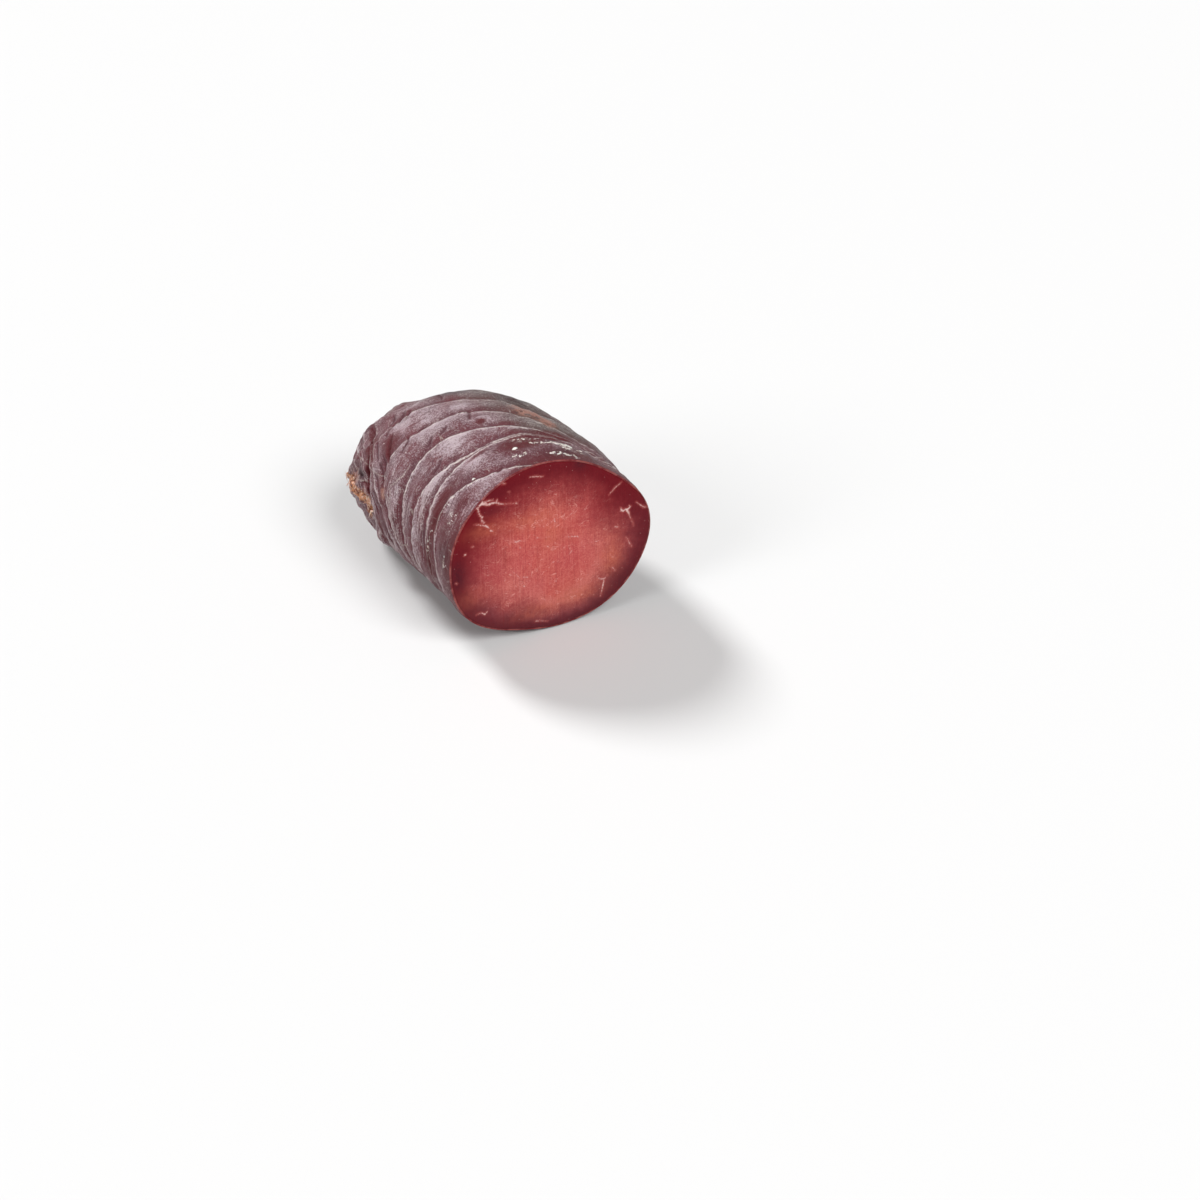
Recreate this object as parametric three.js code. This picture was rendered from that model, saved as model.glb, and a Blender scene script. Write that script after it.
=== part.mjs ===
// Half of a bresaola: a cured, air-dried beef muscle in its casing, cut straight across.
// Millimetres, +Z up. The cut face looks along -Y and the body runs along +Y to its gathered
// tail, which leans towards -X and sags. The origin is the centre of the bounding box's
// bottom, and the body lies on the small flat that its own weight has pressed into it.

import * as THREE from 'three';

// The cut face: an oval of this mean radius, with a few waves round its outline.
// Each wave has a number of crests, a height, and the angle of one crest. Angles start
// at +X and turn towards +Z.
const CUT_MEAN_RADIUS = 50.6;
const CUT_WAVES = [
  { crests: 2, height: 3.7, angle: -13.5 },
  { crests: 3, height: 1.15, angle: -22 },
  { crests: 4, height: 0.5, angle: 15 },
  { crests: 5, height: 0.45, angle: 3 },
  { crests: 7, height: 0.2, angle: 8 },
];

// The centre line: straight at the cut, then leaning to one side and sagging to the tail.
const BODY_LENGTH = 136.5;
const TAIL_LEAN = 41;
const LEAN_POWER = 3;
const TAIL_SAG = 28.3;
const SAG_POWER = 3.5;

// How the section grows, rounds off and closes along the body. Starts and lengths are shares
// of BODY_LENGTH, and gains are shares of the section's own size.
const CAP_START = 0.445;
const CAP_POWER = 1.94;
const WIDTH_GAIN = 0.06;
const HEIGHT_GAIN = -0.075;
const BELLY_GAIN = 0.013;
const BELLY_LENGTH = 0.7;
const ROUND_SHARE = 0.95;

// A net's rings have bitten into the casing, aslant to the cut. Each row is one ring, as its
// distance from the cut every 30 degrees round the body. Below zero it is cut away.
const RING_PLACES = [
  [-12, -14, -12, -3, 10, 21, 18, 16, 12, 6, -1, -8],
  [1, 7, 18, 27.5, 30, 31, 27.5, 26, 23, 18, 11, 4],
  [8, 11, 19.5, 29, 32, 42, 44, 41, 36, 29, 21, 12],
  [15, 15, 24, 37, 51.5, 59.5, 56, 52, 47, 39, 31, 22],
  [24, 22, 33, 54.5, 72, 85.5, 71, 65, 60, 52, 42, 31],
  [41, 42, 53, 72, 100, 99.5, 84, 79, 74, 67, 57, 47],
  [60, 66, 86, 114, 109, 104, 102, 97, 90, 82, 73, 64],
  [79, 86, 103, 122, 118, 112, 109.5, 107, 104, 98, 90, 83],
  [99, 104, 117, 128, 124.5, 120, 117.5, 117, 115.5, 112, 106, 101],
];
// The casing swells into a pillow between one ring and the next. It rises by a share of the
// pillow's width, up to a limit, and lies evenly about the body's own surface. The pillows
// fade out over the last stretch before the cut and as the tail closes.
const BAND_RISE = 0.085;
const BAND_RISE_MOST = 1.7;
const BAND_RISE_MEAN = 0.9;
const BAND_FULLNESS = 0.62;
const FIRST_BAND_EDGE = -30;
const LAST_BAND_EDGE = 146;
const CUT_FADE = 6;
const TAIL_FADE = 0.5;

// Pleats where the casing is gathered into the tail.
const PLEATS = [
  { crests: 9, height: 1.1, angle: 12 },
  { crests: 14, height: 0.7, angle: 3 },
  { crests: 23, height: 0.35, angle: 8 },
];
const PLEAT_START = 0.62;
const PLEAT_FULL = 0.9;

// Knuckles of casing that stand up between the rings near the tail, and shallow dents, below zero.
const KNUCKLES = [
  { place: 110, angle: 90, height: 1.7, length: 7, width: 14 },
  { place: 118, angle: 104, height: 1.4, length: 5, width: 12 },
  { place: 109, angle: 203, height: 2.6, length: 5, width: 8 },
  { place: 118, angle: 176, height: -2.4, length: 12, width: 15 },
  { place: 50, angle: 56, height: -1.2, length: 22, width: 20 },
  { place: 108, angle: 20, height: 2.0, length: 8, width: 11 },
  { place: 114, angle: 285, height: 1.6, length: 8, width: 12 },
];

// The flat on the underside, as the height of its plane below the cut's centre.
const FLAT_DEPTH = 47.3;

// Mesh steps: round the body, and along it, closer together towards the tail.
const STEPS_ROUND = 60;
const STEPS_ALONG = 54;
const TAIL_CROWDING = 1.7;

const TAU = 2 * Math.PI;
const UP = new THREE.Vector3(0, 0, 1);

function radians(degrees) {
  return (degrees * Math.PI) / 180;
}

function smoothStep(value) {
  const clamped = THREE.MathUtils.clamp(value, 0, 1);
  return clamped * clamped * (3 - 2 * clamped);
}

function waveSum(waves, angle) {
  let sum = 0;
  for (const wave of waves) {
    sum += wave.height * Math.cos(wave.crests * (angle - radians(wave.angle)));
  }
  return sum;
}

// The centre line and the two directions across it, at a share of the body's length.
function sectionFrame(share) {
  const centre = new THREE.Vector3(
    -TAIL_LEAN * share ** LEAN_POWER,
    BODY_LENGTH * share,
    -TAIL_SAG * share ** SAG_POWER,
  );
  const forward = new THREE.Vector3(
    -TAIL_LEAN * LEAN_POWER * share ** (LEAN_POWER - 1),
    BODY_LENGTH,
    -TAIL_SAG * SAG_POWER * share ** (SAG_POWER - 1),
  ).normalize();
  const across = new THREE.Vector3().crossVectors(forward, UP).normalize();
  const upward = new THREE.Vector3().crossVectors(across, forward);
  return { centre, across, upward };
}

// A ring's distance from the cut at any angle: a smooth closed curve through its row.
function ringPlace(row, angle) {
  const turn = (((angle / TAU) % 1) + 1) % 1;
  const step = turn * row.length;
  const index = Math.floor(step) % row.length;
  const part = step - Math.floor(step);
  const at = (offset) => row[(index + offset + row.length) % row.length];
  const [before, start, end, after] = [at(-1), at(0), at(1), at(2)];
  const slopeStart = (end - before) / 2;
  const slopeEnd = (after - start) / 2;
  const square = part * part;
  const cube = square * part;
  return start * (2 * cube - 3 * square + 1)
    + slopeStart * (cube - 2 * square + part)
    + end * (3 * square - 2 * cube)
    + slopeEnd * (cube - square);
}

// The height of the pillow between the two rings on either side of a place.
function bandHeight(place, angle) {
  let low = FIRST_BAND_EDGE;
  let high = LAST_BAND_EDGE;
  for (const row of RING_PLACES) {
    const ring = ringPlace(row, angle);
    if (ring <= place) {
      low = Math.max(low, ring);
    } else {
      high = Math.min(high, ring);
    }
  }
  const width = high - low;
  const share = (place - low) / width;
  const rise = Math.min(BAND_RISE_MOST, BAND_RISE * width);
  return rise * (4 * share * (1 - share)) ** BAND_FULLNESS;
}

function knuckleHeight(place, angle) {
  let sum = 0;
  for (const knuckle of KNUCKLES) {
    const offset = angle - radians(knuckle.angle);
    const turn = Math.atan2(Math.sin(offset), Math.cos(offset));
    const sideways = (turn * CUT_MEAN_RADIUS) / knuckle.width;
    const lengthways = (place - knuckle.place) / knuckle.length;
    sum += knuckle.height * Math.exp(-(sideways ** 2) - lengthways ** 2);
  }
  return sum;
}

function surfacePoint(share, angle) {
  const { centre, across, upward } = sectionFrame(share);
  const place = share * BODY_LENGTH;
  const closing = THREE.MathUtils.clamp((share - CAP_START) / (1 - CAP_START), 0, 1);
  const cap = Math.sqrt(Math.max(1 - closing ** CAP_POWER, 0));
  const belly = 1 + BELLY_GAIN * Math.sin(Math.PI * Math.min(share / BELLY_LENGTH, 1)) ** 2;
  const roundness = smoothStep(share / ROUND_SHARE);
  const outline = CUT_MEAN_RADIUS + waveSum(CUT_WAVES, angle) * (1 - roundness);
  const pleating = smoothStep((share - PLEAT_START) / (PLEAT_FULL - PLEAT_START));
  const relief = (bandHeight(place, angle) - BAND_RISE_MEAN) * Math.min(1, place / CUT_FADE)
    + waveSum(PLEATS, angle) * pleating
    + knuckleHeight(place, angle);
  const radius = outline * cap * belly + relief * Math.min(1, cap / TAIL_FADE);
  const sideways = radius * Math.cos(angle) * (1 + WIDTH_GAIN * share);
  const upwards = radius * Math.sin(angle) * (1 + HEIGHT_GAIN * share);
  const point = centre.addScaledVector(across, sideways).addScaledVector(upward, upwards);
  point.z = Math.max(point.z, -FLAT_DEPTH);
  return point;
}

// One closed skin: a fan for the cut face, a grid for the casing, and a tip at the tail.
function bodyGeometry() {
  const points = [];
  const triangles = [];
  points.push(new THREE.Vector3(0, 0, 0));
  for (let row = 0; row < STEPS_ALONG; row += 1) {
    const share = 1 - (1 - row / STEPS_ALONG) ** TAIL_CROWDING;
    for (let column = 0; column < STEPS_ROUND; column += 1) {
      points.push(surfacePoint(share, (column / STEPS_ROUND) * TAU));
    }
  }
  const tip = points.length;
  points.push(surfacePoint(1, 0));

  const index = (row, column) => 1 + row * STEPS_ROUND + (column % STEPS_ROUND);
  for (let column = 0; column < STEPS_ROUND; column += 1) {
    triangles.push(0, index(0, column), index(0, column + 1));
    for (let row = 0; row < STEPS_ALONG - 1; row += 1) {
      const a = index(row, column);
      const b = index(row, column + 1);
      const c = index(row + 1, column + 1);
      const d = index(row + 1, column);
      triangles.push(a, d, b);
      triangles.push(b, d, c);
    }
    triangles.push(index(STEPS_ALONG - 1, column), tip, index(STEPS_ALONG - 1, column + 1));
  }

  const box = new THREE.Box3().setFromPoints(points);
  const shift = new THREE.Vector3(
    -(box.min.x + box.max.x) / 2,
    -(box.min.y + box.max.y) / 2,
    -box.min.z,
  );
  const positions = points.flatMap((point) => point.clone().add(shift).toArray());
  const geometry = new THREE.BufferGeometry();
  geometry.setAttribute('position', new THREE.Float32BufferAttribute(positions, 3));
  geometry.setIndex(triangles);
  geometry.computeVertexNormals();
  return geometry;
}

const casing = new THREE.MeshStandardMaterial({ color: 0x6b4a4e, roughness: 0.5, metalness: 0 });

const bresaola = new THREE.Mesh(bodyGeometry(), casing);
bresaola.name = 'bresaola';

const part = new THREE.Group();
part.add(bresaola);

export default part;
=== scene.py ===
import itertools
import math

import bpy
import numpy as np
from mathutils import Matrix, Vector


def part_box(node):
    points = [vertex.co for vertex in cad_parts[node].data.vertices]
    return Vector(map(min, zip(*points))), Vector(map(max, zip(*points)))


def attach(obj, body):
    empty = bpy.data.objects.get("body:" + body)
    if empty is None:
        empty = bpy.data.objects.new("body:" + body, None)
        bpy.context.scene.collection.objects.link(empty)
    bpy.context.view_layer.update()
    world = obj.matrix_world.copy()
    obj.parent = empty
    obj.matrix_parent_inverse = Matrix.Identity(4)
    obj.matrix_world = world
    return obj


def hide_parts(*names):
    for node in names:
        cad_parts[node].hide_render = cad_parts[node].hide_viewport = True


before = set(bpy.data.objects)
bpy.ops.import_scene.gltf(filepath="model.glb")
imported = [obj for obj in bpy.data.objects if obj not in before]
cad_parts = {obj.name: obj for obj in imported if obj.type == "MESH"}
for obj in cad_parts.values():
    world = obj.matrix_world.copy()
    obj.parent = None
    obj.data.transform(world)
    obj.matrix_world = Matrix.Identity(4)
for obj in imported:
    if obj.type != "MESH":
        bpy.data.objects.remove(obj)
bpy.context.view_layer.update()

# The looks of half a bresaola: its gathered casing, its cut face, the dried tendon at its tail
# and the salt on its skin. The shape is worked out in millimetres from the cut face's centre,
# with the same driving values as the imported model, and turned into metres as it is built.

MM = 0.001
TAU = 2 * math.pi

# ---------------------------------------------------------------- the body's shape

CUT_MEAN_RADIUS = 50.6
# Waves round the body are how many crests they have, their height and the angle of one crest.
CUT_WAVES = [(2, 3.7, -13.5), (3, 1.15, -22), (4, 0.5, 15), (5, 0.45, 3), (7, 0.2, 8)]

BODY_LENGTH = 136.5
TAIL_LEAN, LEAN_POWER = 41, 3
TAIL_SAG, SAG_POWER = 28.3, 3.5

CAP_START, CAP_POWER = 0.445, 1.94
WIDTH_GAIN, HEIGHT_GAIN = 0.06, -0.075
BELLY_GAIN, BELLY_LENGTH = 0.013, 0.7
ROUND_SHARE = 0.95

# The net's rings, as each one's distance from the cut every 30 degrees round the body.
RING_PLACES = [
    (-12, -14, -12, -3, 10, 21, 18, 16, 12, 6, -1, -8),
    (1, 7, 18, 27.5, 30, 31, 27.5, 26, 23, 18, 11, 4),
    (8, 11, 19.5, 29, 32, 42, 44, 41, 36, 29, 21, 12),
    (15, 15, 24, 37, 51.5, 59.5, 56, 52, 47, 39, 31, 22),
    (24, 22, 33, 54.5, 72, 85.5, 71, 65, 60, 52, 42, 31),
    (41, 42, 53, 72, 100, 99.5, 84, 79, 74, 67, 57, 47),
    (60, 66, 86, 114, 109, 104, 102, 97, 90, 82, 73, 64),
    (79, 86, 103, 122, 118, 112, 109.5, 107, 104, 98, 90, 83),
    (99, 104, 117, 128, 124.5, 120, 117.5, 117, 115.5, 112, 106, 101),
]
BAND_RISE, BAND_RISE_MOST, BAND_RISE_MEAN = 0.085, 1.7, 0.9
BAND_FULLNESS = 0.62
FIRST_BAND_EDGE, LAST_BAND_EDGE = -30, 146
CUT_FADE, TAIL_FADE = 6, 0.5

PLEATS = [(9, 1.1, 12), (14, 0.7, 3), (23, 0.35, 8)]
PLEAT_START, PLEAT_FULL = 0.62, 0.9

# Place, angle, height, length and width.
KNUCKLES = [
    (110, 90, 1.7, 7, 14),
    (118, 104, 1.4, 5, 12),
    (109, 203, 2.6, 5, 8),
    (118, 176, -2.4, 12, 15),
    (50, 56, -1.2, 22, 20),
    (108, 20, 2.0, 8, 11),
    (114, 285, 1.6, 8, 12),
]
FLAT_DEPTH = 47.3

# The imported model's own steps round the body and along it, closer together towards the tail.
MODEL_ROUND, MODEL_ALONG, MODEL_CROWDING = 60, 54, 1.7

# Farther than anything on the body.
FAR = 1e9


def smooth_step(value):
    clamped = np.clip(value, 0, 1)
    return clamped * clamped * (3 - 2 * clamped)


def hump(offset, width):
    """A smooth hump, 1 high where the offset is 0."""
    return np.exp(-((offset / width) ** 2))


def unit(vectors):
    return vectors / np.linalg.norm(vectors, axis=-1, keepdims=True)


def turns(steps):
    """Evenly spaced angles all the way round."""
    return np.arange(steps) / steps * TAU


def turn_between(angle, degrees):
    offset = angle - math.radians(degrees)
    return np.arctan2(np.sin(offset), np.cos(offset))


def near_angle(angle, degrees, half_width):
    """A smooth hump round the body, 1 high at this many degrees."""
    return hump(turn_between(angle, degrees), math.radians(half_width))


def wave_sum(waves, angle):
    return sum(height * np.cos(crests * (angle - math.radians(crest))) for crests, height, crest in waves)


def around(values, angle):
    """A smooth closed curve through values that are evenly spaced round the body."""
    values = np.asarray(values, float)
    step = (angle / TAU % 1) * len(values)
    index = np.floor(step).astype(int) % len(values)
    part = step - np.floor(step)
    before, start, end, after = (values[(index + offset) % len(values)] for offset in (-1, 0, 1, 2))
    slope_start, slope_end = (end - before) / 2, (after - start) / 2
    square, cube = part**2, part**3
    return (
        start * (2 * cube - 3 * square + 1)
        + slope_start * (cube - 2 * square + part)
        + end * (3 * square - 2 * cube)
        + slope_end * (cube - square)
    )


def band_at(place, angle):
    """The rings on either side of a place, as their distances from the cut, and the number before it."""
    low = np.full(place.shape, float(FIRST_BAND_EDGE))
    high = np.full(place.shape, float(LAST_BAND_EDGE))
    count = np.zeros(place.shape)
    for row in RING_PLACES:
        ring = around(row, angle)
        passed = ring <= place
        low = np.where(passed, np.maximum(low, ring), low)
        high = np.where(passed, high, np.minimum(high, ring))
        count += passed
    return low, high, count


def section_frame(share):
    """The centre line and the two directions across it."""
    centre = [-TAIL_LEAN * share**LEAN_POWER, BODY_LENGTH * share, -TAIL_SAG * share**SAG_POWER]
    lean_slope = -TAIL_LEAN * LEAN_POWER * share ** (LEAN_POWER - 1)
    sag_slope = -TAIL_SAG * SAG_POWER * share ** (SAG_POWER - 1)
    forward = unit(np.stack([lean_slope, np.full_like(share, BODY_LENGTH), sag_slope], -1))
    across = unit(np.cross(forward, (0, 0, 1)))
    return np.stack(centre, -1), across, np.cross(across, forward)


def cap_share(share):
    closing = np.clip((share - CAP_START) / (1 - CAP_START), 0, 1)
    return np.sqrt(np.clip(1 - closing**CAP_POWER, 0, 1))


def body_point(place, angle, extra=0.0):
    """The body's surface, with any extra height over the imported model's own."""
    share = place / BODY_LENGTH
    centre, across, upward = section_frame(share)
    cap = cap_share(share)
    belly = 1 + BELLY_GAIN * np.sin(math.pi * np.minimum(share / BELLY_LENGTH, 1)) ** 2
    outline = CUT_MEAN_RADIUS + wave_sum(CUT_WAVES, angle) * (1 - smooth_step(share / ROUND_SHARE))
    low, high, _ = band_at(place, angle)
    part = (place - low) / (high - low)
    rise = np.minimum(BAND_RISE_MOST, BAND_RISE * (high - low))
    pillow = rise * (4 * part * (1 - part)) ** BAND_FULLNESS - BAND_RISE_MEAN
    pleating = smooth_step((share - PLEAT_START) / (PLEAT_FULL - PLEAT_START))
    relief = pillow * np.minimum(1, place / CUT_FADE) + wave_sum(PLEATS, angle) * pleating
    for at_place, at_angle, height, length, width in KNUCKLES:
        sideways = turn_between(angle, at_angle) * CUT_MEAN_RADIUS
        relief = relief + height * hump(sideways, width) * hump(place - at_place, length)
    radius = outline * cap * belly + (relief + extra) * np.minimum(1, cap / TAIL_FADE)
    sideways = radius * np.cos(angle) * (1 + WIDTH_GAIN * share)
    upwards = radius * np.sin(angle) * (1 + HEIGHT_GAIN * share)
    point = centre + across * sideways[..., None] + upward * upwards[..., None]
    point[..., 2] = np.maximum(point[..., 2], -FLAT_DEPTH)
    return point


def tail_tip():
    return body_point(np.array([BODY_LENGTH]), np.array([0.0]))


def cut_centre():
    """The cut face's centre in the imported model's frame: the model's own grid is laid in its box."""
    place = BODY_LENGTH * (1 - (1 - np.arange(MODEL_ALONG) / MODEL_ALONG) ** MODEL_CROWDING)
    grid = body_point(*np.meshgrid(place, turns(MODEL_ROUND), indexing="ij")).reshape(-1, 3)
    return np.array(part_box("bresaola")[0]) / MM - np.vstack([grid, tail_tip()]).min(axis=0)


CUT_CENTRE = cut_centre()

# ---------------------------------------------------------------- noise and lines

# Large numbers that scatter the values of the noise over its cells.
CELL_FACTORS = np.array([73856093, 19349663, 83492791])
SEED_FACTOR, FIRST_FACTOR, SECOND_FACTOR = 40503, 1274126177, 668265263
WHOLE_RANGE, HALF_RANGE = 0xFFFFFFFF, 0x7FFFFFFF


def noise(points, size, seed):
    """Smooth noise from -1 to 1 in space, with lumps of this size. The same seed gives the same noise."""
    scaled = np.asarray(points, float) / size
    cell = np.floor(scaled).astype(np.int64)
    part = scaled - cell
    part = part * part * (3 - 2 * part)
    total = np.zeros(scaled.shape[:-1])
    for corner in itertools.product((0, 1), repeat=3):
        key = (cell + corner) @ CELL_FACTORS + seed * SEED_FACTOR
        key = (key ^ (key >> 13)) & WHOLE_RANGE
        key = (key * FIRST_FACTOR) & WHOLE_RANGE
        key = ((key ^ (key >> 16)) * SECOND_FACTOR) & WHOLE_RANGE
        value = (key ^ (key >> 15)) / HALF_RANGE - 1
        total += value * np.prod(np.where(corner, part, 1 - part), axis=-1)
    return total


def rough_noise(points, size, seed, octaves):
    return sum(noise(points, np.asarray(size) / 2**n, seed + n) / 2**n for n in range(octaves))


def along_rows(rows, at):
    """Each column of a line's rows, at a number of steps along it."""
    return [np.interp(at, np.arange(len(rows)), column) for column in zip(*rows)]


def line_distance(points, lines):
    """How far each point lies outside the nearest line. The rows of a line are points with half widths."""
    nearest = np.full(points.shape[:-1], FAR)
    for line in lines:
        for start, end in itertools.pairwise(np.array(line)):
            offset, along = points - start[:-1], (end - start)[:-1]
            share = np.clip(offset @ along / (along @ along), 0, 1)
            half_width = start[-1] + (end[-1] - start[-1]) * share
            gap = np.linalg.norm(offset - share[..., None] * along, axis=-1)
            nearest = np.minimum(nearest, gap - half_width)
    return nearest


# ---------------------------------------------------------------- building meshes


def make_piece(name, points, faces, fields):
    """A smooth mesh that rides on the body, from points in millimetres from the cut's centre."""
    mesh = bpy.data.meshes.new(name)
    mesh.from_pydata(((points + CUT_CENTRE) * MM).tolist(), [], faces)
    mesh.polygons.foreach_set("use_smooth", [True] * len(mesh.polygons))
    for field, values in fields.items():
        attribute = mesh.attributes.new(field, "FLOAT", "POINT")
        attribute.data.foreach_set("value", np.ascontiguousarray(values, np.float32))
    mesh.update()
    piece = bpy.data.objects.new(name, mesh)
    bpy.context.scene.collection.objects.link(piece)
    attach(piece, "root")
    return piece


def grid_faces(rows, columns):
    """Quads over a grid that closes round its columns."""
    faces = []
    for start in range(0, (rows - 1) * columns, columns):
        following = start + columns
        for column in range(columns):
            beside = (column + 1) % columns
            faces.append((start + column, following + column, following + beside, start + beside))
    return faces


def tube_faces(rows, columns):
    """The same quads, closed by a flat face at either end."""
    last = (rows - 1) * columns
    return [*grid_faces(rows, columns), tuple(range(columns)), tuple(reversed(range(last, last + columns)))]


def fan_faces(rows, columns):
    """The same quads, closed by a fan at either end, to the two points that come after the grid."""
    faces = grid_faces(rows, columns)
    last, first_point = (rows - 1) * columns, rows * columns
    for column in range(columns):
        beside = (column + 1) % columns
        faces.append((first_point, column, beside))
        faces.append((last + column, first_point + 1, last + beside))
    return faces


# ---------------------------------------------------------------- the casing

CASING_ROUND = 432
CASING_ALONG = 218

# Lines over the casing, as rows of an angle in degrees, a place and a half width: open slits,
# short soft folds that run across the bands, and pale hairs.
SLITS = [
    [(125, 91.8, 0.2), (130, 90, 0.9), (134, 88.5, 1.2), (139, 86.4, 1), (144, 83.2, 0.2)],
    [(109, 115.4, 0.2), (118, 111.5, 0.6), (127, 108.1, 0.9), (136, 105.8, 0.3)],
    [(136, 105.8, 0.3), (146, 106.8, 0.9), (156, 106.4, 1.2), (165, 106.5, 0.4)],
    [(104, 116, 0.2), (112, 112.5, 0.6), (120, 110, 0.2)],
    [(155, 112, 0.2), (159, 107, 0.8), (164, 105, 0.3)],
    [(162, 101, 0.2), (170, 97, 0.5), (177, 92, 0.2)],
    [(184, 25.4, 0.2), (188, 25.2, 0.6), (193, 25.4, 0.2)],
    [(318, 112, 0.2), (326, 108, 0.7), (333, 105, 0.2)],
    [(238, 112, 0.2), (246, 109, 0.7), (255, 108, 0.2)],
]
FOLDS = [
    [(106, 101.5, 0.2), (109.5, 99.8, 0.7), (114, 101.2, 0.2)],
    [(103, 96.5, 0.2), (107, 95, 0.8), (110, 94.3, 0.7), (114, 94.6, 0.2)],
    [(116, 97, 0.1), (122, 96, 0.5), (128, 94.6, 0.1)],
    [(130, 100, 0.1), (136, 98, 0.5), (143, 95, 0.1)],
    [(152, 97, 0.1), (157, 92, 0.5), (163, 88, 0.1)],
    [(141, 90, 0.1), (147, 86, 0.5), (154, 82, 0.1)],
    [(105.5, 92, 0.1), (108.5, 90.8, 0.5), (111, 91, 0.1)],
    [(123.5, 60.4, 0.1), (126.5, 59.1, 0.6), (129.5, 58.8, 0.1)],
    [(115, 57.8, 0.1), (118, 56.8, 0.6), (121, 56.6, 0.1)],
    [(115.5, 73, 0.1), (118.5, 73.6, 0.6), (121.5, 75, 0.1)],
    [(128, 77, 0.1), (132, 74.5, 0.6), (137, 73.5, 0.1)],
    [(146, 92, 0.2), (151, 88, 0.5), (156, 85, 0.2)],
    [(98, 60, 0.1), (101, 57, 0.5), (103, 54, 0.1)],
    [(131, 44, 0.1), (135, 42, 0.5), (140, 41.5, 0.1)],
    [(86, 88, 0.1), (90, 84, 0.6), (93, 82, 0.1)],
    [(114, 8.6, 0.2), (115.5, 8.1, 0.4), (117, 8, 0.1)],
    [(22, 74, 0.1), (27, 71, 0.6), (31, 70, 0.1)],
    [(350, 70, 0.1), (355, 66, 0.6), (360, 65, 0.1)],
    [(322, 44, 0.1), (327, 41, 0.6), (333, 40, 0.1)],
    [(306, 88, 0.1), (311, 84, 0.6), (317, 83, 0.1)],
    [(40, 95, 0.1), (44, 91, 0.6), (50, 90, 0.1)],
    [(218, 84, 0.1), (224, 81, 0.6), (229, 80, 0.1)],
    [(12, 40, 0.1), (16, 37, 0.6), (21, 36, 0.1)],
]
PALE_LINES = [
    [(126, 120, 0.1), (140, 110, 0.35), (148, 101.5, 0.3), (152, 92.5, 0.3), (153.5, 82, 0.1)],
    [(119.5, 61, 0.15), (121.5, 55, 0.3), (122.5, 49, 0.1)],
    [(121.5, 55, 0.2), (124.5, 52.5, 0.1)],
    [(162, 51, 0.15), (163.5, 46, 0.5), (166, 44.5, 0.2)],
    [(181, 49, 0.1), (179.5, 45.5, 0.3)],
    [(185, 66.8, 0.15), (187.5, 63, 0.35), (189.5, 59.6, 0.35), (188, 54, 0.3), (186.5, 49.8, 0.1)],
    [(156, 74, 0.15), (160, 71.5, 0.35), (165, 71, 0.35), (169, 72.5, 0.15)],
    [(143, 62.5, 0.15), (149, 64, 0.3), (154, 68, 0.3), (157, 73, 0.15)],
    [(150, 120, 0.2), (154, 112, 0.35), (157, 104, 0.15)],
    [(160, 74.5, 0.1), (166, 73, 0.35), (171.5, 72.2, 0.35), (177, 71.5, 0.1)],
    [(300, 70, 0.1), (306, 62, 0.3), (309, 52, 0.1)],
    [(345, 96, 0.1), (350, 86, 0.3), (349, 77, 0.1)],
    [(250, 92, 0.1), (256, 84, 0.3), (258, 76, 0.1)],
]
# How deep slits and folds go, how far inside their edge the slope starts, and how wide it is.
SLIT_DEPTH, SLIT_INSET, SLIT_SLOPE = 1.3, 0.6, 1.6
FOLD_DEPTH, FOLD_INSET, FOLD_SLOPE = 0.9, 0.5, 2.2

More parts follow.
